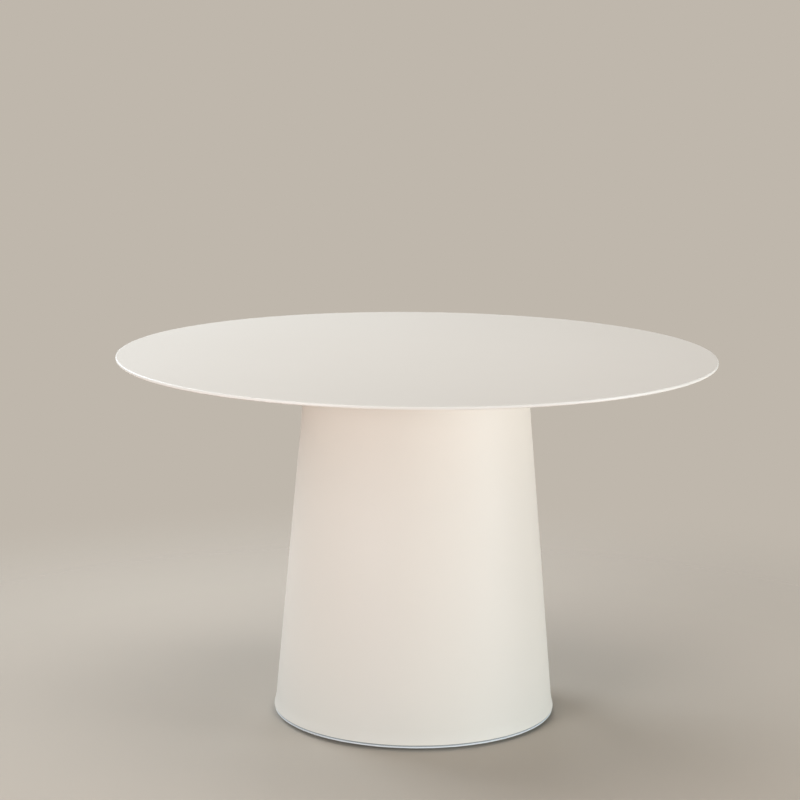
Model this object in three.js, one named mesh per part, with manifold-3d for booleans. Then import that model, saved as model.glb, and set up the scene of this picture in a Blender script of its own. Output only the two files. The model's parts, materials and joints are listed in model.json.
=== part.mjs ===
// A round pedestal table: a thin round top on a seamless conical steel pedestal.
// Millimetres, +Z up. The origin is on the floor, under the centre of the top.

import * as THREE from "three";
import { mergeVertices } from "three/addons/utils/BufferGeometryUtils.js";
import Module from "manifold-3d";

const wasm = await Module();
wasm.setup();

// Whole table
const tableHeight = 737;
const floorGap = 6; // from the floor to the base plate, with the glides screwed right in

// Clearances
const seatGap = 0.2; // between faces that are screwed or pulled together
const sideGap = 0.3; // around shanks, inserts and spigots in their holes
const cutOverrun = 4; // how far a cut runs past the face that it starts from

// Tabletop: lacquered board, bevelled underneath to a thin edge
const topRadius = 600;
const topThickness = 22;
const topEdgeThickness = 6;
const topEdgeRound = 2.4;
const topBevelWidth = 95;

// Mounting plate under the top, and the screws that hold it
const plateInset = 9; // from the shell's top corner to the plate's edge
const plateThickness = 6;
const plateScrewInset = 37; // from the spigot's edge to a screw's axis
const plateScrewCount = 6;
const insertRadius = 5;
const insertLength = 13;
const insertFlangeRadius = 6.5;
const insertFlangeThickness = 1;
const insertHoleSpare = 0.8; // depth left free beyond the insert
const plateScrewRadius = 3;
const plateScrewLength = 18;
const plateScrewHeadRadius = 5.25;
const plateScrewHeadHeight = 3.3;
const plateScrewSocket = 4; // across the flats of the key

// Pedestal shell: spun sheet, a straight cone with a slightly flared foot and a ring in its end
const shellWall = 2;
const shellTopRadius = 222;
const shellTaper = 0.0885; // growth of the radius for each unit of depth
const shellTopRound = 5;
const shellTopFlangeWidth = 30;
const footFlareHeight = 26;
const footFlareReach = 2.5;
const footLipRound = 1;
const footRingWidth = 20;

// Sealing rings at the shell's two ends
const topSealThickness = 1.5;
const topSealWidth = 18;
const footSealThickness = 2.2;
const footSealWidth = 12;
const footSealInset = 1.1; // from the base plate's edge

// Base plate, with the edge that shows as a thin line under the lip
const basePlateThickness = 2.8;
const basePlateInset = 1.6; // from the lip's widest circle in to the plate's edge
const basePlateEdgeRound = 0.5;

// Ballast disc
const ballastToBush = 10; // clear space between the disc and the glides' bushes
const ballastThickness = 22;
const ballastChamfer = 3;
const ballastRecessRadius = 22;
const ballastRecessDepth = 14.5;
const ballastScrewInset = 72; // from the disc's edge to a screw's axis
const ballastScrewCount = 6;
const ballastScrewRadius = 4;
const ballastScrewLength = 16;
const ballastScrewHeadRadius = 7;
const ballastScrewHeadHeight = 4.2;
const ballastScrewSocket = 5;
const ballastScrewHoleSpare = 0.8;

// Tie rod through the middle, its nuts and its washer
const rodRadius = 6;
const rodChamfer = 1;
const rodTopInset = 1.5; // below the top of the mounting plate
const rodBottomReach = 1.5; // below the lower nut
const nutAcrossFlats = 18;
const nutHeight = 10;
const washerRadius = 18;
const washerThickness = 2.5;

// Cap over the lower nut
const capFlangeRadius = 31;
const capFlangeThickness = 1.6;
const capEdgeRound = 0.8;
const capCollarRadius = 25;
const capCollarWall = 1.6;

// Levelling glides: a threaded bush, a stud with a spanner hexagon, and a pad that swivels on it
const glideInset = 38.8; // from the base plate's edge to a glide's axis
const glideTravel = 10;
const bushRadius = 13;
const bushHeight = 22;
const bushRecessDepth = 2.2;
const bushChamfer = 1;
const studRadius = 4;
const studChamfer = 0.8;
const studEngagement = 18; // thread left in the bush at full travel
const studHexAcross = 13;
const studHexHeight = 3.6;
const studNeckRadius = 3.4;
const studFootRadius = 7;
const studFootThickness = 2.4;
const hexClearance = 1.5; // around the hexagon's corners
const padRadius = 20;
const padFloorThickness = 1.6;
const padBottomChamfer = 1.4;
const padShoulderHeight = 4;
const padShoulderWidth = 3;
const padTopGap = 0.3; // from the pad to the base plate

// Smoothness
const wideSegments = 96;
const shellSegments = 64;
const discSegments = 48;
const ringSegments = 24;
const smallSegments = 12;
const arcSteps = 3;
const flareSteps = 4;
const weldDistance = 0.001;

// Places worked out from the sizes above
const topUnderside = tableHeight - topThickness;
const plateTop = topUnderside - seatGap;
const plateUnderside = plateTop - plateThickness;
const shellTop = plateUnderside - seatGap - topSealThickness - seatGap;
const basePlateTop = floorGap + basePlateThickness;
const shellBottom = basePlateTop + seatGap + footSealThickness + seatGap;
const shellHeight = shellTop - shellBottom;
const topOpeningRadius = shellTopRadius - shellTopFlangeWidth;
const spigotRadius = topOpeningRadius - sideGap;
const spigotDepth = topSealThickness + 2 * seatGap + shellWall;
const plateRadius = shellTopRadius - plateInset;
const plateScrewCircle = spigotRadius - plateScrewInset;
const lipRadius = shellRadiusAt(footLipRound) + footFlareReach;
const lipFlatRadius = lipRadius - footLipRound;
const basePlateRadius = lipRadius - basePlateInset;
const glideCircle = basePlateRadius - glideInset;
const ballastRadius = glideCircle - bushRadius - ballastToBush;
const ballastScrewCircle = ballastRadius - ballastScrewInset;
const ballastBottom = basePlateTop + seatGap;
const rodHoleRadius = rodRadius + sideGap;
const hexHoleRadius = studHexAcross / Math.sqrt(3) + hexClearance;

// Radius of the straight cone at a height above the shell's underside.
function shellRadiusAt(height) {
  return shellTopRadius + shellTaper * (shellHeight - height);
}

// Points along an arc, for an outline of [radius, height] pairs.
function arc(centreRadius, centreHeight, radius, startAngle, endAngle, steps) {
  const points = [];
  for (let step = 0; step <= steps; step += 1) {
    const angle = startAngle + ((endAngle - startAngle) * step) / steps;
    const across = centreRadius + radius * Math.cos(angle);
    const up = centreHeight + radius * Math.sin(angle);
    points.push([across, up]);
  }
  return points;
}

// A turned solid. The outline runs anticlockwise, with radius to the right and height up.
// An outline that starts off the axis is closed into a ring.
function turned(outline, segments) {
  const points = outline.map(([radius, height]) => new THREE.Vector2(radius, height));
  if (outline[0][0] > 0) {
    points.push(points[0].clone());
  }
  const geometry = new THREE.LatheGeometry(points, segments);
  geometry.rotateX(Math.PI / 2);
  return geometry;
}

// A plain round bar standing on the height that is given.
function bar(radius, bottom, top, segments) {
  return turned([[0, bottom], [radius, bottom], [radius, top], [0, top]], segments);
}

// A hexagonal bar, from the width across its flats.
function hexBar(acrossFlats, bottom, top) {
  const cornerRadius = acrossFlats / Math.sqrt(3);
  const shape = new THREE.Shape();
  for (let corner = 0; corner < 6; corner += 1) {
    const angle = (corner * Math.PI) / 3;
    const x = cornerRadius * Math.cos(angle);
    const y = cornerRadius * Math.sin(angle);
    if (corner === 0) {
      shape.moveTo(x, y);
    } else {
      shape.lineTo(x, y);
    }
  }
  shape.closePath();
  const geometry = new THREE.ExtrudeGeometry(shape, { depth: top - bottom, bevelEnabled: false });
  geometry.translate(0, 0, bottom);
  return geometry;
}

function toSolid(geometry) {
  const bare = geometry.clone();
  bare.deleteAttribute("normal");
  bare.deleteAttribute("uv");
  const merged = mergeVertices(bare, weldDistance);
  const corners = merged.index.array;
  const kept = [];
  for (let i = 0; i < corners.length; i += 3) {
    const [a, b, c] = corners.slice(i, i + 3);
    if (a !== b && b !== c && c !== a) {
      kept.push(a, b, c);
    }
  }
  const mesh = new wasm.Mesh({
    numProp: 3,
    vertProperties: Float32Array.from(merged.attributes.position.array),
    triVerts: Uint32Array.from(kept),
  });
  return new wasm.Manifold(mesh);
}

function fromSolid(solid) {
  const mesh = solid.getMesh();
  const geometry = new THREE.BufferGeometry();
  geometry.setAttribute("position", new THREE.BufferAttribute(mesh.vertProperties, 3));
  geometry.setIndex(new THREE.BufferAttribute(mesh.triVerts, 1));
  return geometry;
}

function cut(geometry, tools) {
  let solid = toSolid(geometry);
  for (const tool of tools) {
    solid = solid.subtract(toSolid(tool));
  }
  return fromSolid(solid);
}

function join(first, second) {
  return fromSolid(toSolid(first).add(toSolid(second)));
}

// Places evenly spaced around a circle.
function circlePlaces(radius, count, startAngle) {
  const places = [];
  for (let i = 0; i < count; i += 1) {
    const angle = startAngle + (i * 2 * Math.PI) / count;
    places.push([radius * Math.cos(angle), radius * Math.sin(angle)]);
  }
  return places;
}

function holesAt(places, radius, bottom, top) {
  return places.map(([x, y]) => bar(radius, bottom, top, smallSegments).translate(x, y, 0));
}

const plateScrewPlaces = circlePlaces(plateScrewCircle, plateScrewCount, Math.PI / 6);
const ballastScrewPlaces = circlePlaces(ballastScrewCircle, ballastScrewCount, 0);
const glidePlaces = circlePlaces(glideCircle, 4, Math.PI / 4);
const glideNames = ["back_right", "back_left", "front_left", "front_right"];

// Finishes
const materials = {
  lacquer: new THREE.MeshStandardMaterial({ color: 0xebe7df, roughness: 0.55, metalness: 0 }),
  powderCoat: new THREE.MeshStandardMaterial({ color: 0xe5dfd5, roughness: 0.5, metalness: 0 }),
  coolCoat: new THREE.MeshStandardMaterial({ color: 0xebeeef, roughness: 0.45, metalness: 0 }),
  zinc: new THREE.MeshStandardMaterial({ color: 0xc9d2d4, roughness: 0.38, metalness: 0.85 }),
  paintedSteel: new THREE.MeshStandardMaterial({ color: 0x3a3b3d, roughness: 0.6, metalness: 0 }),
  castIron: new THREE.MeshStandardMaterial({ color: 0x4a4b4c, roughness: 0.75, metalness: 0.6 }),
  brass: new THREE.MeshStandardMaterial({ color: 0xb8964f, roughness: 0.4, metalness: 0.9 }),
  rubber: new THREE.MeshStandardMaterial({ color: 0xa6aaac, roughness: 0.8, metalness: 0 }),
  nylon: new THREE.MeshStandardMaterial({ color: 0x26262a, roughness: 0.6, metalness: 0 }),
};

function addPiece(parent, name, geometry, material, x, y, z) {
  geometry.computeVertexNormals();
  const mesh = new THREE.Mesh(geometry, material);
  mesh.name = name;
  mesh.position.set(x, y, z);
  parent.add(mesh);
  return mesh;
}

function makeTabletop() {
  const edgeBottom = topThickness - topEdgeThickness;
  const roundRadius = topRadius - topEdgeRound;
  const outline = [
    [0, 0],
    [topRadius - topBevelWidth, 0],
    ...arc(roundRadius, edgeBottom + topEdgeRound, topEdgeRound, -Math.PI / 2, 0, arcSteps),
    ...arc(roundRadius, topThickness - topEdgeRound, topEdgeRound, 0, Math.PI / 2, arcSteps),
    [0, topThickness],
  ];
  const depth = insertLength + insertHoleSpare;
  const holes = holesAt(plateScrewPlaces, insertRadius + sideGap, -cutOverrun, depth);
  const rimRadius = insertFlangeRadius + sideGap;
  const rims = holesAt(plateScrewPlaces, rimRadius, -cutOverrun, insertFlangeThickness + seatGap);
  return cut(turned(outline, wideSegments), [...holes, ...rims]);
}

// A threaded insert stands with its flange flush with the underside of the top.
function makeInsert() {
  const bore = plateScrewRadius + sideGap;
  return turned([
    [bore, 0],
    [insertFlangeRadius, 0],
    [insertFlangeRadius, insertFlangeThickness],
    [insertRadius, insertFlangeThickness],
    [insertRadius, insertLength],
    [bore, insertLength],
  ], smallSegments);
}

// A button-head screw, head down, with the underside of its head at height zero.
function makeButtonScrew(radius, length, headRadius, headHeight, socketAcross) {
  const headFlat = headRadius - headHeight / 2;
  const shank = radius - radius / 8;
  const body = turned([
    [0, -headHeight],
    [headFlat, -headHeight],
    [headRadius, -headHeight / 2],
    [headRadius, 0],
    [radius, 0],
    [radius, length - radius / 4],
    [shank, length],
    [0, length],
  ], smallSegments);
  const socketTop = -headHeight / 3;
  return cut(body, [hexBar(socketAcross, -headHeight - cutOverrun, socketTop)]);
}

function makeMountingPlate() {
  const plate = turned([
    [rodHoleRadius, -spigotDepth],
    [spigotRadius, -spigotDepth],
    [spigotRadius, 0],
    [plateRadius, 0],
    [plateRadius, plateThickness],
    [rodHoleRadius, plateThickness],
  ], discSegments);
  const bottom = -spigotDepth - cutOverrun;
  const holeRadius = plateScrewRadius + sideGap;
  return cut(plate, holesAt(plateScrewPlaces, holeRadius, bottom, plateThickness + cutOverrun));
}

function makeNut() {
  const bore = bar(rodHoleRadius, -cutOverrun, nutHeight + cutOverrun, smallSegments);
  return cut(hexBar(nutAcrossFlats, 0, nutHeight), [bore]);
}

function makeFlatRing(innerRadius, outerRadius, thickness, segments) {
  return turned([
    [innerRadius, 0],
    [outerRadius, 0],
    [outerRadius, thickness],
    [innerRadius, thickness],
  ], segments);
}

// The shell goes up from the ring welded in and ground flush at its foot: ring, flare, straight
// cone, rounded shoulder, flange.
function makeConeShell() {
  const lean = Math.atan(shellTaper);
  const shoulderHeight = shellHeight - shellTopRound;
  const shoulderTouch = shoulderHeight + shellTopRound * Math.sin(lean);
  const shoulderRadius = shellRadiusAt(shoulderTouch) - shellTopRound * Math.cos(lean);
  const flareSpan = footFlareHeight - footLipRound;
  const innerRound = shellTopRound - shellWall;
  const outside = [];
  const inside = [];
  for (let step = 1; step <= flareSteps; step += 1) {
    const share = step / flareSteps;
    const height = footLipRound + flareSpan * share;
    const radius = shellRadiusAt(height) + footFlareReach * (1 - share) ** 2;
    outside.push([radius, height]);
    inside.unshift([radius - shellWall, height]);
  }
  const footRingRadius = lipFlatRadius - footRingWidth;
  return turned([
    [footRingRadius, 0],
    ...arc(lipFlatRadius, footLipRound, footLipRound, -Math.PI / 2, 0, arcSteps),
    ...outside,
    ...arc(shoulderRadius, shoulderHeight, shellTopRound, lean, Math.PI / 2, arcSteps),
    [topOpeningRadius, shellHeight],
    [topOpeningRadius, shellHeight - shellWall],
    ...arc(shoulderRadius, shoulderHeight, innerRound, Math.PI / 2, lean, arcSteps),
    ...inside,
    [lipRadius - shellWall, shellWall],
    [footRingRadius, shellWall],
  ], shellSegments);
}

function makeBasePlate() {
  const edge = basePlateRadius - basePlateEdgeRound;
  const upper = basePlateThickness - basePlateEdgeRound;
  const plate = turned([
    [0, 0],
    [edge, 0],
    [basePlateRadius, basePlateEdgeRound],
    [basePlateRadius, upper],
    [edge, basePlateThickness],
    [0, basePlateThickness],
  ], shellSegments);
  const top = basePlateThickness + cutOverrun;
  const screwHole = ballastScrewRadius + sideGap;
  return cut(plate, [
    bar(capCollarRadius + sideGap, -cutOverrun, top, ringSegments),
    ...holesAt(ballastScrewPlaces, screwHole, -cutOverrun, top),
    ...holesAt(glidePlaces, hexHoleRadius, -cutOverrun, top),
  ]);
}

function makeBallastDisc() {
  const disc = turned([
    [rodHoleRadius, 0],
    [ballastRadius - ballastChamfer, 0],
    [ballastRadius, ballastChamfer],
    [ballastRadius, ballastThickness - ballastChamfer],
    [ballastRadius - ballastChamfer, ballastThickness],
    [rodHoleRadius, ballastThickness],
  ], discSegments);
  const reach = ballastScrewLength - basePlateThickness - 2 * seatGap;
  const holeRadius = ballastScrewRadius + sideGap;
  return cut(disc, [
    bar(ballastRecessRadius, -cutOverrun, ballastRecessDepth, ringSegments),
    ...holesAt(ballastScrewPlaces, holeRadius, -cutOverrun, reach + ballastScrewHoleSpare),
  ]);
}

function makeTieRod(length) {
  return turned([
    [0, 0],
    [rodRadius - rodChamfer, 0],
    [rodRadius, rodChamfer],
    [rodRadius, length - rodChamfer],
    [rodRadius - rodChamfer, length],
    [0, length],
  ], smallSegments);
}

// A snap-in cap: a thin flange below the base plate and a collar up into its hole.
function makeNutCap() {
  const collarTop = seatGap + basePlateThickness;
  const innerRadius = capCollarRadius - capCollarWall;
  return turned([
    [0, -capFlangeThickness],
    [capFlangeRadius - capEdgeRound, -capFlangeThickness],
    [capFlangeRadius, capEdgeRound - capFlangeThickness],
    [capFlangeRadius, 0],
    [capCollarRadius, 0],
    [capCollarRadius, collarTop],
    [innerRadius, collarTop],
    [innerRadius, 0],
    [0, 0],
  ], ringSegments);
}

function makeBush() {
  const bore = studRadius + sideGap;
  return turned([
    [hexHoleRadius, 0],
    [bushRadius, 0],
    [bushRadius, bushHeight - bushChamfer],
    [bushRadius - bushChamfer, bushHeight],
    [bore, bushHeight],
    [bore, bushRecessDepth],
    [hexHoleRadius, bushRecessDepth],
  ], smallSegments);
}

// The pad is moulded round the stud's foot, which it holds by an inward lip.
function makePad() {
  const padTop = floorGap - padTopGap;
  const footTop = padFloorThickness + 2 * seatGap + studFootThickness;
  return turned([
    [0, 0],
    [padRadius - padBottomChamfer, 0],
    [padRadius, padBottomChamfer],
    [padRadius, padShoulderHeight],
    [padRadius - padShoulderWidth, padTop],
    [studNeckRadius + sideGap, padTop],
    [studNeckRadius + sideGap, footTop],
    [studFootRadius + sideGap, footTop],
    [studFootRadius + sideGap, padFloorThickness],
    [0, padFloorThickness],
  ], ringSegments);
}

function makeStud() {
  const footBottom = padFloorThickness + seatGap;
  const footTop = footBottom + studFootThickness;
  const hexBottom = floorGap;
  const hexTop = hexBottom + studHexHeight;
  const tip = basePlateTop + seatGap + studEngagement + glideTravel;
  const spindle = turned([
    [0, footBottom],
    [studFootRadius, footBottom],
    [studFootRadius, footTop],
    [studNeckRadius, footTop],
    [studNeckRadius, hexTop],
    [studRadius, hexTop],
    [studRadius, tip - studChamfer],
    [studRadius - studChamfer, tip],
    [0, tip],
  ], smallSegments);
  return join(spindle, hexBar(studHexAcross, hexBottom, hexTop));
}

function buildTop() {
  const group = new THREE.Group();
  addPiece(group, "tabletop", makeTabletop(), materials.lacquer, 0, 0, topUnderside);
  const screwPlane = plateUnderside - spigotDepth - seatGap;
  plateScrewPlaces.forEach(([x, y], i) => {
    const screw = makeButtonScrew(
      plateScrewRadius,
      plateScrewLength + spigotDepth,
      plateScrewHeadRadius,
      plateScrewHeadHeight,
      plateScrewSocket,
    );
    addPiece(group, `top_insert_${i + 1}`, makeInsert(), materials.brass, x, y, topUnderside);
    addPiece(group, `top_screw_${i + 1}`, screw, materials.zinc, x, y, screwPlane);
  });
  const plate = makeMountingPlate();
  addPiece(group, "mounting_plate", plate, materials.paintedSteel, 0, 0, plateUnderside);
  return group;
}

function buildPedestal() {
  const group = new THREE.Group();
  const sealInner = topOpeningRadius;
  const topSeal = makeFlatRing(sealInner, sealInner + topSealWidth, topSealThickness, discSegments);
  addPiece(group, "top_seal", topSeal, materials.rubber, 0, 0, shellTop + seatGap);
  addPiece(group, "cone_shell", makeConeShell(), materials.powderCoat, 0, 0, shellBottom);
  const footOuter = basePlateRadius - footSealInset;
  const footSeal = makeFlatRing(footOuter - footSealWidth, footOuter, footSealThickness, discSegments);
  addPiece(group, "foot_seal", footSeal, materials.rubber, 0, 0, basePlateTop + seatGap);
  return group;
}

function buildTie() {
  const group = new THREE.Group();
  const hubNutBottom = plateUnderside - spigotDepth - seatGap - nutHeight;
  const washerBottom = ballastBottom + ballastRecessDepth - seatGap - washerThickness;
  const lowerNutBottom = washerBottom - seatGap - nutHeight;
  const rodBottom = lowerNutBottom - rodBottomReach;
  const rod = makeTieRod(plateTop - rodTopInset - rodBottom);
  const washer = makeFlatRing(rodHoleRadius, washerRadius, washerThickness, ringSegments);
  addPiece(group, "hub_nut", makeNut(), materials.zinc, 0, 0, hubNutBottom);
  addPiece(group, "tie_rod", rod, materials.zinc, 0, 0, rodBottom);
  addPiece(group, "tie_washer", washer, materials.zinc, 0, 0, washerBottom);
  addPiece(group, "tie_nut", makeNut(), materials.zinc, 0, 0, lowerNutBottom);
  return group;
}

function buildBase() {
  const group = new THREE.Group();
  addPiece(group, "base_plate", makeBasePlate(), materials.coolCoat, 0, 0, floorGap);
  addPiece(group, "ballast_disc", makeBallastDisc(), materials.castIron, 0, 0, ballastBottom);
  addPiece(group, "nut_cap", makeNutCap(), materials.nylon, 0, 0, floorGap - seatGap);
  ballastScrewPlaces.forEach(([x, y], i) => {
    const screw = makeButtonScrew(
      ballastScrewRadius,
      ballastScrewLength,
      ballastScrewHeadRadius,
      ballastScrewHeadHeight,
      ballastScrewSocket,
    );
    addPiece(group, `ballast_screw_${i + 1}`, screw, materials.zinc, x, y, floorGap - seatGap);
  });
  return group;
}

function buildGlides() {
  const group = new THREE.Group();
  glidePlaces.forEach(([x, y], i) => {
    const glide = new THREE.Group();
    glide.position.set(x, y, 0);
    const name = glideNames[i];
    addPiece(glide, `glide_bush_${name}`, makeBush(), materials.zinc, 0, 0, basePlateTop + seatGap);
    addPiece(glide, `glide_stud_${name}`, makeStud(), materials.zinc, 0, 0, 0);
    addPiece(glide, `glide_pad_${name}`, makePad(), materials.nylon, 0, 0, 0);
    group.add(glide);
  });
  return group;
}

const table = new THREE.Group();
table.name = "round_pedestal_table";
table.add(buildTop(), buildPedestal(), buildTie(), buildBase(), buildGlides());

export default table;
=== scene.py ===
# A round pedestal table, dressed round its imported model.
# Shapes are drawn in millimetres where they stand, and stored in metres. Round sizes are radii,
# and hexagons are measured across their flats.
import json
import math

import bmesh
import bpy
from mathutils import Matrix, Vector


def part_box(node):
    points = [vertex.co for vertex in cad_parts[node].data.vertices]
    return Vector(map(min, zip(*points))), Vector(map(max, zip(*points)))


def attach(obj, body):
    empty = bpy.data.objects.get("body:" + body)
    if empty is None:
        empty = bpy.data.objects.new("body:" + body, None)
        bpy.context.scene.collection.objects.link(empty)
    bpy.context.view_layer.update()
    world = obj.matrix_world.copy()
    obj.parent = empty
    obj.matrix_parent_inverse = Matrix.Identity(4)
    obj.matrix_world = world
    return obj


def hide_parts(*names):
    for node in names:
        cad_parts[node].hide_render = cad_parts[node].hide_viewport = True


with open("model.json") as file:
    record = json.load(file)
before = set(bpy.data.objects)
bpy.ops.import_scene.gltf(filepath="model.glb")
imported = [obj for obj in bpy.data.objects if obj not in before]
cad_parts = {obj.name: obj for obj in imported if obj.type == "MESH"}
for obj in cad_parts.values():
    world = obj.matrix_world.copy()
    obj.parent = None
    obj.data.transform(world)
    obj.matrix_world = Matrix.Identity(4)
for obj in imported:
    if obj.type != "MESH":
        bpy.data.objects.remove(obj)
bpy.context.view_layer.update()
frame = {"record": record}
bodies = frame["record"]["behaviour"]["bodies"]
bodyOf = {node: body for body, members in bodies.items() for node in members}

mm = 0.001  # a millimetre in the scene's metres
weldDistance = 0.001  # mm, points closer than this are one
sharpAngle = math.radians(35)
fullTurn = 2 * math.pi
arcSteps = 6  # round a rounded corner
holeSteps = 48  # round a drilled hole
overrun = 2  # mm, how far a cutter runs past a face

for spare in ("Cube", "Light", "Camera"):  # what a new file starts with
    if spare in bpy.data.objects:
        bpy.data.objects.remove(bpy.data.objects[spare])


# Camera, at the photograph's angle
view = {
    "place": (-0.06831, -4.62936, 1.46744),  # metres
    "lens": 105.19,  # mm
    "lookDown": 10.114,  # degrees
    "turnRight": 0.436,
    "roll": 0.478,
}


def placeCamera():
    lens = bpy.data.cameras.new("viewCamera")
    lens.lens = view["lens"]
    camera = bpy.data.objects.new("viewCamera", lens)
    heading = Matrix.Rotation(-math.radians(view["turnRight"]), 4, "Z")
    tilt = Matrix.Rotation(math.radians(90 - view["lookDown"]), 4, "X")
    roll = Matrix.Rotation(math.radians(view["roll"]), 4, "Z")
    camera.matrix_world = Matrix.Translation(view["place"]) @ heading @ tilt @ roll
    bpy.context.scene.collection.objects.link(camera)
    bpy.context.scene.camera = camera


placeCamera()
print("camera: placed")


# Node and colour helpers
def linear(hexColour):
    # an sRGB hex value as the linear colour that a socket takes
    channels = [int(hexColour[i:i + 2], 16) / 255 for i in (1, 3, 5)]
    curved = [c / 12.92 if c <= 0.04045 else ((c + 0.055) / 1.055) ** 2.4 for c in channels]
    return (*curved, 1)


def perMetre(size):
    return 1 / (size * mm)  # a pattern's scale, from the size of one of its features in mm


def addNode(tree, kind, settings=None, links=None):
    node = tree.nodes.new("ShaderNode" + kind)
    for name, value in (settings or {}).items():
        if isinstance(name, int) or name in node.inputs:
            node.inputs[name].default_value = value
        else:
            setattr(node, name, value)
    for name, source in (links or {}).items():
        tree.links.new(source, node.inputs[name])
    return node


def newMaterial(name):
    # an empty material, with the place on the piece that its patterns read
    material = bpy.data.materials.new(name)
    material.use_nodes = True
    tree = material.node_tree
    tree.nodes.clear()
    place = addNode(tree, "TexCoord").outputs["Object"]
    return material, tree, place


# Every finish is two near tints in soft clouds, over a relief of grains or of tool marks
pattern = {
    "cloudDetail": 3,
    "cloudLow": 0.3,  # most of a noise texture's values lie between these
    "cloudHigh": 0.7,
    "ringWobble": 0.4,
    "wavePhase": 20,  # radians that a wave texture runs through in one unit of its scale
}


def clouded(tree, place, recipe):
    # the two tints, and a roughness that drifts with them
    clouds = addNode(tree, "TexNoise", {
        "Scale": perMetre(recipe["cloudSize"]),
        "Detail": pattern["cloudDetail"],
    }, {"Vector": place}).outputs["Fac"]
    tint = addNode(tree, "Mix", {
        "data_type": "RGBA",
        6: linear(recipe["tint"]),
        7: linear(recipe["secondTint"]),
    }, {0: clouds}).outputs[2]
    roughness = addNode(tree, "MapRange", {
        "From Min": pattern["cloudLow"],
        "From Max": pattern["cloudHigh"],
        "To Min": recipe["roughness"] - recipe["roughnessDrift"],
        "To Max": recipe["roughness"] + recipe["roughnessDrift"],
    }, {"Value": clouds}).outputs["Result"]
    return tint, roughness


def grained(tree, place, grain, under):
    # rounded grains, laid over another relief if there is one
    height = addNode(tree, "TexNoise", {
        "Scale": perMetre(grain["size"]),
        "Detail": grain["detail"],
    }, {"Vector": place}).outputs["Fac"]
    links = {"Height": height}
    if under:
        links["Normal"] = under
    return addNode(tree, "Bump", {"Distance": grain["height"] * mm}, links).outputs["Normal"]


def ringed(tree, place, ring):
    # the rings that a lathe's tool leaves
    height = addNode(tree, "TexWave", {
        "bands_direction": "Z",
        "Scale": perMetre(ring["size"]) * fullTurn / pattern["wavePhase"],
        "Distortion": pattern["ringWobble"],
    }, {"Vector": place}).outputs["Fac"]
    relief = addNode(tree, "Bump", {"Distance": ring["height"] * mm}, {"Height": height})
    return relief.outputs["Normal"]


def makeFinish(recipe):
    material, tree, place = newMaterial(recipe["name"])
    tint, roughness = clouded(tree, place, recipe)
    relief = ringed(tree, place, recipe["ring"]) if "ring" in recipe else None
    for grain in recipe.get("grains", ()):
        relief = grained(tree, place, grain, relief)
    surface = addNode(tree, "BsdfPrincipled", recipe["surface"], {
        "Base Color": tint,
        "Roughness": roughness,
        "Normal": relief,
    })
    addNode(tree, "OutputMaterial", {}, {"Surface": surface.outputs["BSDF"]})
    return material


# Polyurethane lacquer sprayed on board and rubbed matt: an even, slightly warm white whose
# highlight is wide and soft, with the long ripple that a sprayed film keeps.
lacquer = {
    "name": "mattLacquer",
    "tint": "#ECE8E0",
    "secondTint": "#EAE6DE",
    "cloudSize": 260,  # mm
    "roughness": 0.46,
    "roughnessDrift": 0.03,
    "surface": {"IOR": 1.48},
    "grains": (
        {"size": 7, "height": 0.010, "detail": 1},  # mm, the ripple from crest to crest
        {"size": 0.9, "height": 0.004, "detail": 2},  # dried spray mist
    ),
}
lacquerFinish = makeFinish(lacquer)

# Polyester powder baked on steel: a satin film a tenth of a millimetre thick. The powder melts
# into rounded grains about a millimetre across, over a slow wave left by the spun sheet.
powder = {
    "name": "satinPowderCoat",
    "tint": "#E5DFD5",
    "secondTint": "#E3DDD2",
    "cloudSize": 320,  # mm
    "roughness": 0.6,
    "roughnessDrift": 0.03,
    "surface": {"IOR": 1.5},
    "grains": (
        {"size": 14, "height": 0.012, "detail": 0},  # mm, the sheet's wave
        {"size": 1.1, "height": 0.012, "detail": 2},  # the melted powder
    ),
}
powderFinish = makeFinish(powder)

# Wet enamel baked on the base plate: a cooler and smoother white than the shell's, so that the
# plate's edge shows as a pale bluish line, with the slow orange peel of a sprayed coat.
enamel = {
    "name": "coolWhiteEnamel",
    "tint": "#EBEEEF",
    "secondTint": "#E7EAEC",
    "cloudSize": 70,  # mm
    "roughness": 0.4,
    "roughnessDrift": 0.04,
    "surface": {"IOR": 1.5},
    "grains": ({"size": 2.6, "height": 0.006, "detail": 1},),  # mm, the orange peel
}
enamelFinish = makeFinish(enamel)

# Bright zinc electroplate under a clear passivate: bluish silver, half glossy, with the fine
# pits of the rolled steel below it.
zinc = {
    "name": "brightZincPlate",
    "tint": "#D3DCE0",
    "secondTint": "#BFCAD2",
    "cloudSize": 22,  # mm
    "roughness": 0.34,
    "roughnessDrift": 0.06,
    "surface": {"Metallic": 1},
    "grains": ({"size": 0.5, "height": 0.004, "detail": 3},),  # mm, the pits
}
zincFinish = makeFinish(zinc)

# Dark stove paint on laser-cut plate: flat and even, with the plate's faint roll waves.
paint = {
    "name": "darkStovePaint",
    "tint": "#3A3B3D",
    "secondTint": "#343537",
    "cloudSize": 60,  # mm
    "roughness": 0.55,
    "roughnessDrift": 0.05,
    "surface": {"IOR": 1.5},
    "grains": ({"size": 2.2, "height": 0.02, "detail": 2},),  # mm, the roll waves
}
paintFinish = makeFinish(paint)

# Grey iron as it leaves the sand mould: dark, dull, with the print of the sand all over it.
iron = {
    "name": "sandCastIron",
    "tint": "#4C4D4E",
    "secondTint": "#3F3E3D",
    "cloudSize": 35,  # mm
    "roughness": 0.74,
    "roughnessDrift": 0.08,
    "surface": {"Metallic": 0.6},
    "grains": ({"size": 1.3, "height": 0.16, "detail": 4},),  # mm, the print of the sand
}
ironFinish = makeFinish(iron)

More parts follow.
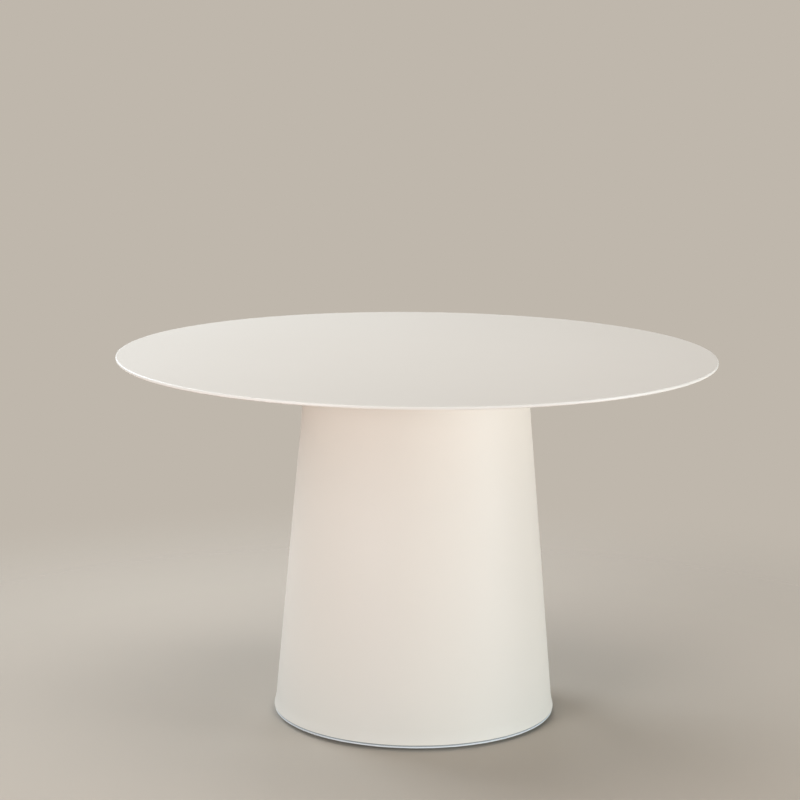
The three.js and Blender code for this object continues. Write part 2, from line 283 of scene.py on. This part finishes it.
# Free-cutting brass from the lathe: yellow, bright, with the close rings of the tool.
brass = {
    "name": "turnedBrass",
    "tint": "#C9A660",
    "secondTint": "#B9944E",
    "cloudSize": 4,  # mm
    "roughness": 0.3,
    "roughnessDrift": 0.06,
    "surface": {"Metallic": 1},
    "ring": {"size": 0.25, "height": 0.006},  # mm, from one tool mark to the next
}
brassFinish = makeFinish(brass)

# Sheet rubber cut into rings: light grey, dull, with a slight bloom and the print of the cloth
# that it was pressed on.
rubber = {
    "name": "sheetRubber",
    "tint": "#A6AAAC",
    "secondTint": "#9EA2A4",
    "cloudSize": 18,  # mm
    "roughness": 0.82,
    "roughnessDrift": 0.06,
    "surface": {"IOR": 1.52},
    "grains": ({"size": 0.7, "height": 0.03, "detail": 1},),  # mm, the print of the cloth
}
rubberFinish = makeFinish(rubber)

# Glass-filled nylon from a spark-eroded mould: near black, with a fine even stipple.
nylon = {
    "name": "mouldedNylon",
    "tint": "#29292C",
    "secondTint": "#232326",
    "cloudSize": 12,  # mm
    "roughness": 0.56,
    "roughnessDrift": 0.05,
    "surface": {"IOR": 1.53},
    "grains": ({"size": 0.45, "height": 0.02, "detail": 2},),  # mm, the stipple
}
nylonFinish = makeFinish(nylon)
print("finishes: made")


# Shape helpers
def measure(node):
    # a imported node's centre, radius and heights, in mm
    low, high = (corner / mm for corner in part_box(node))
    return {
        "x": (low.x + high.x) / 2,
        "y": (low.y + high.y) / 2,
        "radius": (high.x - low.x) / 2,
        "acrossFlats": high.y - low.y,
        "bottom": low.z,
        "top": high.z,
    }


def placesOf(nodes):
    sizes = [measure(node) for node in nodes]
    return [(size["x"], size["y"]) for size in sizes]


def vertsOf(parts):
    return [part for part in parts if isinstance(part, bmesh.types.BMVert)]


def tidied(shape):
    bmesh.ops.remove_doubles(shape, verts=shape.verts[:], dist=weldDistance)
    bmesh.ops.recalc_face_normals(shape, faces=shape.faces[:])
    return shape


def newObject(name, shape):
    # puts a shape in the scene, and uses it up
    mesh = bpy.data.meshes.new(name)
    shape.to_mesh(mesh)
    shape.free()
    made = bpy.data.objects.new(name, mesh)
    bpy.context.scene.collection.objects.link(made)
    return made


def roundCorner(shape, corner, radius):
    # swaps a corner of an outline for an arc
    first, second = [edge.other_vert(corner).co - corner.co for edge in corner.link_edges]
    reach = radius / math.tan(first.angle(second) / 2)
    bmesh.ops.bevel(
        shape,
        geom=[corner],
        offset=reach,
        offset_type="OFFSET",
        segments=arcSteps,
        profile=0.5,
        affect="VERTICES",
        material=-1,
    )


def turned(outline, steps):
    # spins an outline of (radius, height) or (radius, height, rounding) about the upright axis.
    # One that starts off the axis is closed into a ring
    shape = bmesh.new()
    corners = [shape.verts.new((point[0], 0, point[1])) for point in outline]
    pairs = list(zip(corners, corners[1:]))
    if outline[0][0] > 0:
        pairs.append((corners[-1], corners[0]))
    for pair in pairs:
        shape.edges.new(pair)
    for corner, point in zip(corners, outline):
        if len(point) > 2:
            roundCorner(shape, corner, point[2])
    bmesh.ops.spin(
        shape,
        geom=shape.verts[:] + shape.edges[:],
        cent=(0, 0, 0),
        axis=(0, 0, 1),
        angle=fullTurn,
        steps=steps,
        use_merge=True,
    )
    return tidied(shape)


def combined(shape, tool, operation):
    # joins, cuts or intersects two solids, and uses both up
    blanks = [newObject("blank", solid) for solid in (shape, tool)]
    step = blanks[0].modifiers.new("step", "BOOLEAN")
    step.object = blanks[1]
    step.operation = operation
    step.solver = "EXACT"
    made = bmesh.new()
    made.from_object(blanks[0], bpy.context.evaluated_depsgraph_get())
    for blank in blanks:
        bpy.data.meshes.remove(blank.data)
    return tidied(made)


def spread(shape, places):
    # copies of a shape at several places, as one mesh
    first = shape.verts[:] + shape.edges[:] + shape.faces[:]
    for x, y in places[1:]:
        copied = bmesh.ops.duplicate(shape, geom=first)["geom"]
        bmesh.ops.translate(shape, vec=(x, y, 0), verts=vertsOf(copied))
    bmesh.ops.translate(shape, vec=(*places[0], 0), verts=vertsOf(first))
    return shape


def holeTool(radius, bottom, top, chamfer, steps=holeSteps):
    # a round cutter that also breaks the edges of a through hole
    mouth = radius + chamfer
    return turned([
        (0, bottom - overrun),
        (mouth + overrun, bottom - overrun),
        (mouth, bottom),
        (radius, bottom + chamfer),
        (radius, top - chamfer),
        (mouth, top),
        (mouth + overrun, top + overrun),
        (0, top + overrun),
    ], steps)


def addPiece(name, shape, finish, node):
    # the shape is in mm. The piece stands for the node and rides on the node's body
    bmesh.ops.scale(shape, vec=(mm, mm, mm), verts=shape.verts[:])
    piece = newObject(name, shape)
    piece.data.shade_smooth()
    piece.data.set_sharp_from_angle(angle=sharpAngle)
    piece.data.materials.append(finish)
    evened = piece.modifiers.new("evenShading", "WEIGHTED_NORMAL")
    evened.keep_sharp = True
    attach(piece, bodyOf[node])
    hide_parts(node)


def addCopies(name, shape, finish, nodes):
    # one piece for each node, from a shape drawn about the upright axis
    for number, (node, (x, y)) in enumerate(zip(nodes, placesOf(nodes)), 1):
        copy = shape.copy()
        bmesh.ops.translate(copy, vec=(x, y, 0), verts=copy.verts[:])
        addPiece(f"{name}{number}", copy, finish, node)
    shape.free()


# Metric threads and hexagons
metric = {
    "pitch6": 1.0,  # mm
    "pitch8": 1.25,
    "pitch12": 1.75,
    "gap": 0.12,  # mm, between a screw's flanks and its nut's
    "depthShare": 0.61,  # of the pitch
    "crestShares": (0.44, 0.56),  # where the crest starts and ends in the pitch
    "steps": 24,
}
hexagon = {
    "faceShare": 0.475,  # radius of the flat inside the chamfer, for each mm across the flats
    "chamferAngle": math.radians(30),
    "steps": 72,
}


def threaded(radius, pitch, bottom, top, chamfered=True, steps=metric["steps"]):
    # a right-hand screw thread. Turns are counted from height zero, so a nut's fit its screw's
    root = radius - metric["depthShare"] * pitch
    crestStart, crestEnd = (share * pitch for share in metric["crestShares"])
    start = (math.floor(bottom / pitch) - 1) * pitch
    shape = bmesh.new()
    tooth = [(root, 0), (radius, crestStart), (radius, crestEnd), (root, pitch)]
    points = [shape.verts.new((across, 0, start + up)) for across, up in tooth]
    for pair in zip(points, points[1:]):
        shape.edges.new(pair)
    bmesh.ops.spin(
        shape,
        geom=shape.verts[:] + shape.edges[:],
        cent=(0, 0, 0),
        axis=(0, 0, 1),
        dvec=(0, 0, pitch / steps),
        angle=fullTurn,
        steps=steps,
    )
    turns = 1
    while start + (turns - 1) * pitch < top:  # each pass stacks a copy of all the turns so far
        stack = bmesh.ops.duplicate(shape, geom=shape.verts[:] + shape.edges[:] + shape.faces[:])
        bmesh.ops.translate(shape, vec=(0, 0, turns * pitch), verts=vertsOf(stack["geom"]))
        turns *= 2
    bmesh.ops.remove_doubles(shape, verts=shape.verts[:], dist=weldDistance)
    for height, outwards in ((bottom, -1), (top, 1)):
        cut = bmesh.ops.bisect_plane(
            shape,
            geom=shape.verts[:] + shape.edges[:] + shape.faces[:],
            dist=weldDistance,
            plane_co=(0, 0, height),
            plane_no=(0, 0, outwards),
            clear_outer=True,
        )
        rim = [part for part in cut["geom_cut"] if isinstance(part, bmesh.types.BMEdge)]
        bmesh.ops.holes_fill(shape, edges=rim, sides=0)
    if chamfered:
        for point in shape.verts:
            across = math.hypot(point.co.x, point.co.y)
            limit = root + min(point.co.z - bottom, top - point.co.z)
            if across > limit:
                point.co.xy *= limit / across
    return tidied(shape)


def tapTool(radius, pitch, bottom, top):
    # a cutter for the thread that takes a screw of this radius
    return threaded(radius + metric["gap"], pitch, bottom, top, chamfered=False)


def hexBar(acrossFlats, bottom, top):
    shape = bmesh.new()
    flat = bmesh.ops.create_circle(
        shape,
        cap_ends=True,
        segments=6,
        radius=acrossFlats / math.sqrt(3),
        matrix=Matrix.Translation((0, 0, bottom)) @ Matrix.Rotation(math.pi / 2, 4, "Z"),
    )
    raised = bmesh.ops.extrude_face_region(shape, geom=flat["verts"][0].link_faces[:])
    bmesh.ops.translate(shape, vec=(0, 0, top - bottom), verts=vertsOf(raised["geom"]))
    return tidied(shape)


def hexBlank(acrossFlats, bottom, top):
    # a hexagon whose corners are chamfered on both faces
    corner = acrossFlats / math.sqrt(3)
    face = hexagon["faceShare"] * acrossFlats
    drop = (corner - face) * math.tan(hexagon["chamferAngle"])
    envelope = turned([
        (0, bottom),
        (face, bottom),
        (corner, bottom + drop),
        (corner, top - drop),
        (face, top),
        (0, top),
    ], hexagon["steps"])
    return combined(hexBar(acrossFlats, bottom - overrun, top + overrun), envelope, "INTERSECT")


# Button-head screws
topScrew = {"count": 6, "thread": 3, "head": 3.3, "socket": 4}  # mm
ballastScrew = {"count": 6, "thread": 4, "head": 4.2, "socket": 5}
button = {
    "seatRound": 0.15,  # mm
    "domeShare": 0.85,  # shares of the head's height: the rounding of its rim,
    "socketShare": 0.65,  # the depth of its socket,
    "lapShare": 0.25,  # and how far the thread reaches into it
    "steps": 72,
}


def numbered(name, count):
    return [f"{name}_{i + 1}" for i in range(count)]


def buttonScrew(recipe, pitch, node):
    size, height = measure(node), recipe["head"]
    bottom, seat = size["bottom"], size["bottom"] + height
    head = turned([
        (0, bottom),
        (size["radius"], bottom, button["domeShare"] * height),
        (size["radius"], seat, button["seatRound"]),
        (0, seat),
    ], button["steps"])
    shankStart = seat - button["lapShare"] * height
    shank = threaded(recipe["thread"], pitch, shankStart, size["top"])
    screw = combined(head, shank, "UNION")
    socketEnd = bottom + button["socketShare"] * height
    socket = hexBar(recipe["socket"], bottom - overrun, socketEnd)
    return combined(screw, socket, "DIFFERENCE")


# Brass inserts that the top's screws turn into
insert = {
    "flange": 1,  # mm
    "flangeRound": 0.2,
    "body": 5,
    "waist": 4.4,
    "tipRound": 0.3,
    "knurlDepth": 0.35,
    "bodyTolerance": 0.05,  # how near the body's radius a point is still on it
    "bandShares": ((0.14, 0.5), (0.6, 0.94)),  # where the knurled bands start and end
    "steps": 72,  # every second one is a groove of the knurl
}


def knurledInsert():
    size = measure("top_insert_1")
    radius, bottom, top = size["radius"], size["bottom"], size["top"]
    body, waist, flangeTop = insert["body"], insert["waist"], bottom + insert["flange"]
    bands = []
    for low, high in insert["bandShares"]:
        bands.append((bottom + low * (top - bottom), bottom + high * (top - bottom)))
    outline = [
        (0, bottom),
        (radius, bottom, insert["flangeRound"]),
        (radius, flangeTop, insert["flangeRound"]),
        (waist, flangeTop),
    ]
    slope = (body - waist) / 2
    for low, high in bands:
        outline += [(waist, low - slope), (body, low), (body, high), (waist, high + slope)]
    outline += [(waist, top, insert["tipRound"]), (0, top)]
    shape = turned(outline, insert["steps"])
    for point in shape.verts:
        across = math.hypot(point.co.x, point.co.y)
        step = round(math.atan2(point.co.y, point.co.x) / fullTurn * insert["steps"])
        onBody = abs(across - body) < insert["bodyTolerance"]
        onBand = any(low - weldDistance < point.co.z < high + weldDistance for low, high in bands)
        if onBody and onBand and step % 2:
            point.co.xy *= 1 - insert["knurlDepth"] / across
    tap = tapTool(topScrew["thread"], metric["pitch6"], bottom - overrun, top + overrun)
    return combined(shape, tap, "DIFFERENCE")


insertNodes = numbered("top_insert", topScrew["count"])
topScrewNodes = numbered("top_screw", topScrew["count"])
ballastScrewNodes = numbered("ballast_screw", ballastScrew["count"])
topScrewShape = buttonScrew(topScrew, metric["pitch6"], "top_screw_1")
ballastScrewShape = buttonScrew(ballastScrew, metric["pitch8"], "ballast_screw_1")
addCopies("brassInsert", knurledInsert(), brassFinish, insertNodes)
addCopies("topScrew", topScrewShape, zincFinish, topScrewNodes)
addCopies("ballastScrew", ballastScrewShape, zincFinish, ballastScrewNodes)
print("screws and inserts: made")


# Tabletop
tabletop = {
    "edgeThickness": 6,  # mm
    "edgeRound": 2.4,
    "bevelWidth": 95,
    "bevelRound": 60,  # the soft turn where the bevel starts
    "insertHole": 5.3,
    "insertDepth": 13.8,
    "insertRim": 6.8,  # the wider mouth that takes the insert's flange
    "rimDepth": 1.2,
    "steps": 256,
}


def makeTabletop():
    size = measure("tabletop")
    radius, bottom, top = size["radius"], size["bottom"], size["top"]
    shape = turned([
        (0, bottom),
        (radius - tabletop["bevelWidth"], bottom, tabletop["bevelRound"]),
        (radius, top - tabletop["edgeThickness"], tabletop["edgeRound"]),
        (radius, top, tabletop["edgeRound"]),
        (0, top),
    ], tabletop["steps"])
    drill = turned([
        (0, bottom - overrun),
        (tabletop["insertRim"], bottom - overrun),
        (tabletop["insertRim"], bottom + tabletop["rimDepth"]),
        (tabletop["insertHole"], bottom + tabletop["rimDepth"]),
        (tabletop["insertHole"], bottom + tabletop["insertDepth"]),
        (0, bottom + tabletop["insertDepth"]),
    ], holeSteps)
    shape = combined(shape, spread(drill, placesOf(insertNodes)), "DIFFERENCE")
    addPiece("lacqueredTop", shape, lacquerFinish, "tabletop")


makeTabletop()
print("tabletop: made")


# Mounting plate under the top
mountingPlate = {
    "bore": 6.3,  # mm
    "spigot": 191.7,
    "spigotDepth": 3.9,
    "edgeRound": 0.5,
    "screwHole": 3.3,
    "holeChamfer": 0.3,
    "steps": 192,
}


def makeMountingPlate():
    size = measure("mounting_plate")
    bottom, top, soft = size["bottom"], size["top"], mountingPlate["edgeRound"]
    shoulder = bottom + mountingPlate["spigotDepth"]
    shape = turned([
        (mountingPlate["bore"], bottom),
        (mountingPlate["spigot"], bottom, soft),
        (mountingPlate["spigot"], shoulder),
        (size["radius"], shoulder, soft),
        (size["radius"], top, soft),
        (mountingPlate["bore"], top),
    ], mountingPlate["steps"])
    drill = holeTool(mountingPlate["screwHole"], bottom, top, mountingPlate["holeChamfer"])
    shape = combined(shape, spread(drill, placesOf(topScrewNodes)), "DIFFERENCE")
    addPiece("mountingPlate", shape, paintFinish, "mounting_plate")


makeMountingPlate()
print("mounting plate: made")


# Pedestal shell, spun from sheet, with a ring welded in at its foot and ground flush
shell = {
    "wall": 2,  # mm
    "topRadius": 222,
    "topRound": 5,
    "topOpening": 192,
    "taper": 0.0885,  # growth of the radius for each mm down
    "flareHeight": 26,
    "flareReach": 2.5,
    "flareSteps": 10,
    "lipRound": 1,
    "ringOpening": 264.96,
    "steps": 256,
}


def makeShell():
    size = measure("cone_shell")
    wall, bottom, top = shell["wall"], size["bottom"], size["top"]
    flare = []
    for step in range(1, shell["flareSteps"] + 1):
        share = step / shell["flareSteps"]
        height = shell["lipRound"] + share * (shell["flareHeight"] - shell["lipRound"])
        straight = shell["topRadius"] + shell["taper"] * (top - bottom - height)
        flare.append((straight + shell["flareReach"] * (1 - share) ** 2, bottom + height))
    shape = turned([
        (shell["ringOpening"], bottom),
        (size["radius"], bottom, shell["lipRound"]),
        *flare,
        (shell["topRadius"], top, shell["topRound"]),
        (shell["topOpening"], top),
        (shell["topOpening"], top - wall),
        (shell["topRadius"] - wall, top - wall, shell["topRound"] - wall),
        *((radius - wall, height) for radius, height in reversed(flare)),
        (size["radius"] - wall, bottom + wall),
        (shell["ringOpening"], bottom + wall),
    ], shell["steps"])
    addPiece("spunShell", shape, powderFinish, "cone_shell")


makeShell()
print("pedestal shell: made")


# Sealing rings at the shell's two ends
seal = {
    "width": {"top_seal": 18, "foot_seal": 12},  # mm
    "edgeRound": 0.3,
    "steps": 192,
}


def makeSeal(name, node):
    size = measure(node)
    inner = size["radius"] - seal["width"][node]
    shape = turned([
        (inner, size["bottom"], seal["edgeRound"]),
        (size["radius"], size["bottom"], seal["edgeRound"]),
        (size["radius"], size["top"], seal["edgeRound"]),
        (inner, size["top"], seal["edgeRound"]),
    ], seal["steps"])
    addPiece(name, shape, rubberFinish, node)


makeSeal("topSeal", "top_seal")
makeSeal("footSeal", "foot_seal")
print("seals: made")


# Base plate
basePlate = {
    "edgeRound": 0.5,  # mm
    "capHole": 25.3,
    "screwHole": 4.3,
    "glideHole": 9.0,
    "holeChamfer": 0.3,
    "steps": 256,
    "capHoleSteps": 96,
}
glideCorners = ("back_right", "back_left", "front_left", "front_right")


def glideNodes(part):
    return [f"glide_{part}_{corner}" for corner in glideCorners]


def makeBasePlate():
    size = measure("base_plate")
    bottom, top, chamfer = size["bottom"], size["top"], basePlate["holeChamfer"]
    shape = turned([
        (0, bottom),
        (size["radius"], bottom, basePlate["edgeRound"]),
        (size["radius"], top, basePlate["edgeRound"]),
        (0, top),
    ], basePlate["steps"])
    capHole = holeTool(basePlate["capHole"], bottom, top, chamfer, basePlate["capHoleSteps"])
    shape = combined(shape, capHole, "DIFFERENCE")
    screwHole = holeTool(basePlate["screwHole"], bottom, top, chamfer)
    shape = combined(shape, spread(screwHole, placesOf(ballastScrewNodes)), "DIFFERENCE")
    glideHole = holeTool(basePlate["glideHole"], bottom, top, chamfer)
    shape = combined(shape, spread(glideHole, placesOf(glideNodes("pad"))), "DIFFERENCE")
    addPiece("basePlate", shape, enamelFinish, "base_plate")


makeBasePlate()
print("base plate: made")


# Ballast disc
ballast = {
    "bore": 6.3,  # mm
    "edgeRound": 3,
    "recess": 22,
    "recessDepth": 14.5,
    "screwDepth": 13.6,
    "steps": 192,
}


def makeBallast():
    size = measure("ballast_disc")
    bottom, top, soft = size["bottom"], size["top"], ballast["edgeRound"]
    recessTop = bottom + ballast["recessDepth"]
    shape = turned([
        (ballast["recess"], bottom),
        (size["radius"], bottom, soft),
        (size["radius"], top, soft),
        (ballast["bore"], top),
        (ballast["bore"], recessTop),
        (ballast["recess"], recessTop),
    ], ballast["steps"])
    tapEnd = bottom + ballast["screwDepth"]
    tap = tapTool(ballastScrew["thread"], metric["pitch8"], bottom - overrun, tapEnd)
    shape = combined(shape, spread(tap, placesOf(ballastScrewNodes)), "DIFFERENCE")
    addPiece("ballastDisc", shape, ironFinish, "ballast_disc")


makeBallast()
print("ballast: made")


# Tie rod, its nuts, its washer and the cap over them
tie = {
    "rod": 6,  # mm
    "rodSteps": 16,
    "nutMouth": 6.6,
    "washerBore": 6.3,
    "washerRound": 0.6,
    "washerBurr": 0.2,  # rounding of the side that the punch left sharper
    "washerSteps": 96,
}
cap = {
    "flange": 1.6,  # mm
    "flangeRound": 0.8,
    "collar": 25,
    "wall": 1.6,
    "outerRound": 0.4,
    "innerRound": 0.2,
    "steps": 128,
}


def makeNut(name, node):
    size = measure(node)
    bottom, top = size["bottom"], size["top"]
    shape = hexBlank(size["acrossFlats"], bottom, top)
    tap = tapTool(tie["rod"], metric["pitch12"], bottom - overrun, top + overrun)
    shape = combined(shape, tap, "DIFFERENCE")
    for face, inwards in ((bottom, 1), (top, -1)):
        mouth = turned([
            (0, face - inwards * overrun),
            (tie["nutMouth"] + overrun, face - inwards * overrun),
            (0, face + inwards * tie["nutMouth"]),
        ], holeSteps)
        shape = combined(shape, mouth, "DIFFERENCE")
    addPiece(name, shape, zincFinish, node)


def makeTieRod():
    size = measure("tie_rod")
    bottom, top = size["bottom"], size["top"]
    rod = threaded(tie["rod"], metric["pitch12"], bottom, top, steps=tie["rodSteps"])
    addPiece("tieRod", rod, zincFinish, "tie_rod")


def makeWasher():
    size = measure("tie_washer")
    shape = turned([
        (tie["washerBore"], size["bottom"]),
        (size["radius"], size["bottom"], tie["washerRound"]),
        (size["radius"], size["top"], tie["washerBurr"]),
        (tie["washerBore"], size["top"]),
    ], tie["washerSteps"])
    addPiece("tieWasher", shape, zincFinish, "tie_washer")


def makeNutCap():
    size = measure("nut_cap")
    bottom, top = size["bottom"], size["top"]
    flangeTop = bottom + cap["flange"]
    inner = cap["collar"] - cap["wall"]
    shape = turned([
        (0, bottom),
        (size["radius"], bottom, cap["flangeRound"]),
        (size["radius"], flangeTop),
        (cap["collar"], flangeTop),
        (cap["collar"], top, cap["outerRound"]),
        (inner, top, cap["innerRound"]),
        (inner, flangeTop),
        (0, flangeTop),
    ], cap["steps"])
    addPiece("nutCap", shape, nylonFinish, "nut_cap")


makeNut("hubNut", "hub_nut")
makeNut("tieNut", "tie_nut")
makeTieRod()
makeWasher()
makeNutCap()
print("tie rod, nuts and cap: made")


# Levelling glides
glide = {
    "bushRecess": 2.2,  # mm
    "bushRound": 1,
    "hexHole": 9.0,
    "studThread": 4,
    "studNeck": 3.4,
    "studFoot": 7,
    "footThickness": 2.4,
    "footRound": 0.5,
    "hexAcross": 13,
    "hexBottom": 6,  # above the floor
    "hexHeight": 3.6,
    "padRound": 1.4,
    "shoulderHeight": 4,
    "shoulderWidth": 3,
    "shoulderRound": 1,
    "padOpening": 3.7,
    "padPocket": 7.3,
    "padFloor": 1.6,
    "pocketTop": 4.4,
    "steps": 72,
    "padSteps": 96,
}


def makeBush():
    size = measure("glide_bush_back_right")
    bottom, top = size["bottom"], size["top"]
    recessTop = bottom + glide["bushRecess"]
    blank = turned([
        (0, recessTop),
        (glide["hexHole"], recessTop),
        (glide["hexHole"], bottom),
        (size["radius"], bottom),
        (size["radius"], top, glide["bushRound"]),
        (0, top),
    ], glide["steps"])
    tap = tapTool(glide["studThread"], metric["pitch8"], bottom - overrun, top + overrun)
    return combined(blank, tap, "DIFFERENCE")


def makeStud():
    size = measure("glide_stud_back_right")
    bottom, top = size["bottom"], size["top"]
    footTop = bottom + glide["footThickness"]
    hexTop = glide["hexBottom"] + glide["hexHeight"]
    middle = (glide["hexBottom"] + hexTop) / 2
    foot = turned([
        (0, bottom),
        (glide["studFoot"], bottom, glide["footRound"]),
        (glide["studFoot"], footTop, glide["footRound"]),
        (glide["studNeck"], footTop),
        (glide["studNeck"], middle),
        (0, middle),
    ], glide["steps"])
    spannerFlats = hexBlank(glide["hexAcross"], glide["hexBottom"], hexTop)
    shape = combined(foot, spannerFlats, "UNION")
    thread = threaded(glide["studThread"], metric["pitch8"], middle, top)
    return combined(shape, thread, "UNION")


def makePad():
    size = measure("glide_pad_back_right")
    radius, bottom, top = size["radius"], size["bottom"], size["top"]
    pocketTop = bottom + glide["pocketTop"]
    pocketFloor = bottom + glide["padFloor"]
    return turned([
        (0, bottom),
        (radius, bottom, glide["padRound"]),
        (radius, bottom + glide["shoulderHeight"], glide["shoulderRound"]),
        (radius - glide["shoulderWidth"], top, glide["shoulderRound"]),
        (glide["padOpening"], top),
        (glide["padOpening"], pocketTop),
        (glide["padPocket"], pocketTop),
        (glide["padPocket"], pocketFloor),
        (0, pocketFloor),
    ], glide["padSteps"])


addCopies("glideBush", makeBush(), zincFinish, glideNodes("bush"))
addCopies("glideStud", makeStud(), zincFinish, glideNodes("stud"))
addCopies("glidePad", makePad(), nylonFinish, glideNodes("pad"))
print("glides: made")


# Studio: a pale floor that fades into a pale surround, and soft lamps
studio = {
    "floor": "#C5BBAE",
    "floorBounce": "#CBAC9C",  # what the floor casts up on the table
    "shadedFootBounce": "#989690",  # the same round the foot, darker: painted shade for the table's shadow on the floor there
    "shadedFootBounceStart": 0.35,  # metres
    "shadedFootBounceEnd": 0.9,
    "floorRoughness": 0.85,
    "floorSpecular": 0.2,
    "floorRadius": 7,  # metres
    "floorSteps": 96,
    "fadeStart": 0.6,  # metres, where the floor that is seen fades out
    "fadeEnd": 2.0,
    "bounceFadeStart": 1.6,  # metres, where the light that it casts fades out
    "bounceFadeEnd": 6.5,
    "surround": "#BFB7AC",
    "ambient": "#E9F9FF",
    "ambientStrength": 0.127,
}
lamps = (
    {
        "name": "rightSoftbox",  # the main light, low enough to reach under the top
        "place": (3.0, -1.2, 0.55),  # metres
        "aim": (0, 0, 0.45),
        "size": (1.4, 0.8),
        "power": 64,  # watts
        "colour": "#F2FBFF",
    },
    {
        "name": "leftSoftbox",
        "place": (-2.2, -3.0, 0.8),
        "aim": (0, 0, 0.35),
        "size": (1.6, 1.5),
        "power": 61,
        "colour": "#FDFDFF",
    },
    {
        "name": "rearSoftbox",
        "place": (-2.2, 2.2, 2.2),
        "aim": (0, 0, 0.6),
        "size": (1.8, 1.8),
        "power": 79,
        "colour": "#E9F5FF",
    },
    {
        "name": "overheadSoftbox",
        "place": (0, 0, 3.2),
        "aim": (0, 0, 0.5),
        "size": (2.4, 2.4),
        "power": 40,
        "colour": "#FFF3EC",
    },
    {
        "name": "leftHighFill",  # brightens the top's edge
        "place": (-2.2, -2.4, 2.2),
        "aim": (0, 0, 0.5),
        "size": (1.6, 1.6),
        "power": 18.5,
        "colour": "#EEF8FF",
    },
    {
        "name": "frontFill",
        "place": (1.3, -3.8, 0.55),
        "aim": (0, 0, 0.4),
        "size": (1.4, 0.8),
        "power": 15.3,
        "colour": "#FFFDFF",
    },
    {
        "name": "rearLowFill",  # low, so that it reaches under the top and not over it
        "place": (0.1, 3.6, 0.42),
        "aim": (0, 0, 0.42),
        "size": (1.2, 0.55),
        "power": 36,
        "colour": "#F6FAFF",
    },
)


def seenRays(tree):
    # the rays that show the background: the camera's own, and those by way of gloss or glass
    rays = addNode(tree, "LightPath").outputs
    seen = addNode(tree, "Math", {"operation": "MAXIMUM"}, {
        0: rays["Is Camera Ray"],
        1: rays["Is Glossy Ray"],
    }).outputs["Value"]
    return addNode(tree, "Math", {"operation": "MAXIMUM"}, {
        0: seen,
        1: rays["Is Transmission Ray"],
    }).outputs["Value"]


def fadeOut(tree, distance, start, end):
    # nothing up to the start, all of it from the end on
    return addNode(tree, "MapRange", {
        "interpolation_type": "SMOOTHSTEP",
        "From Min": start,
        "From Max": end,
    }, {"Value": distance}).outputs["Result"]


def makeFloorMaterial():
    # what is seen of the floor fades sooner than the light that it casts, and has its own tint
    material, tree, place = newMaterial("studioFloor")
    distance = addNode(tree, "VectorMath", {"operation": "LENGTH"}, {0: place}).outputs["Value"]
    seen = seenRays(tree)
    shown = fadeOut(tree, distance, studio["fadeStart"], studio["fadeEnd"])
    cast = fadeOut(tree, distance, studio["bounceFadeStart"], studio["bounceFadeEnd"])
    fade = addNode(tree, "Mix", {"data_type": "FLOAT"}, {0: seen, 2: cast, 3: shown}).outputs[0]
    # round the foot the floor casts up less light: painted shade for the table's shadow there
    pastFootShade = fadeOut(tree, distance, studio["shadedFootBounceStart"], studio["shadedFootBounceEnd"])
    bounce = addNode(tree, "Mix", {
        "data_type": "RGBA",
        6: linear(studio["shadedFootBounce"]),
        7: linear(studio["floorBounce"]),
    }, {0: pastFootShade}).outputs[2]
    tint = addNode(tree, "Mix", {
        "data_type": "RGBA",
        7: linear(studio["floor"]),
    }, {0: seen, 6: bounce}).outputs[2]
    matt = addNode(tree, "BsdfPrincipled", {
        "Roughness": studio["floorRoughness"],
        "Specular IOR Level": studio["floorSpecular"],
    }, {"Base Color": tint}).outputs["BSDF"]
    clear = addNode(tree, "BsdfTransparent").outputs["BSDF"]
    surface = addNode(tree, "MixShader", {}, {0: fade, 1: matt, 2: clear}).outputs["Shader"]
    addNode(tree, "OutputMaterial", {}, {"Surface": surface})
    return material


def makeFloor():
    shape = bmesh.new()
    bmesh.ops.create_circle(
        shape,
        cap_ends=True,
        segments=studio["floorSteps"],
        radius=studio["floorRadius"],
    )
    bmesh.ops.recalc_face_normals(shape, faces=shape.faces[:])
    floor = newObject("studioFloor", shape)
    floor.data.materials.append(makeFloorMaterial())


def makeSurround():
    world = bpy.data.worlds.new("studioSurround")
    world.use_nodes = True
    tree = world.node_tree
    tree.nodes.clear()
    glow = addNode(tree, "Background", {
        "Color": linear(studio["ambient"]),
        "Strength": studio["ambientStrength"],
    }).outputs["Background"]
    backdrop = addNode(tree, "Background", {
        "Color": linear(studio["surround"]),
    }).outputs["Background"]
    surface = addNode(tree, "MixShader", {}, {
        0: seenRays(tree),
        1: glow,
        2: backdrop,
    }).outputs["Shader"]
    addNode(tree, "OutputWorld", {}, {"Surface": surface})
    bpy.context.scene.world = world


def addLamp(lamp):
    light = bpy.data.lights.new(lamp["name"], "AREA")
    light.shape = "RECTANGLE"
    light.size, light.size_y = lamp["size"]
    light.energy = lamp["power"]
    light.color = linear(lamp["colour"])[:3]
    holder = bpy.data.objects.new(lamp["name"], light)
    towards = Vector(lamp["aim"]) - Vector(lamp["place"])
    turn = towards.to_track_quat("-Z", "Y").to_matrix().to_4x4()
    holder.matrix_world = Matrix.Translation(lamp["place"]) @ turn
    holder.visible_camera = False
    bpy.context.scene.collection.objects.link(holder)


makeFloor()
makeSurround()
for lamp in lamps:
    addLamp(lamp)
scene = bpy.context.scene
scene.view_settings.view_transform = "Standard"
print("studio: made")
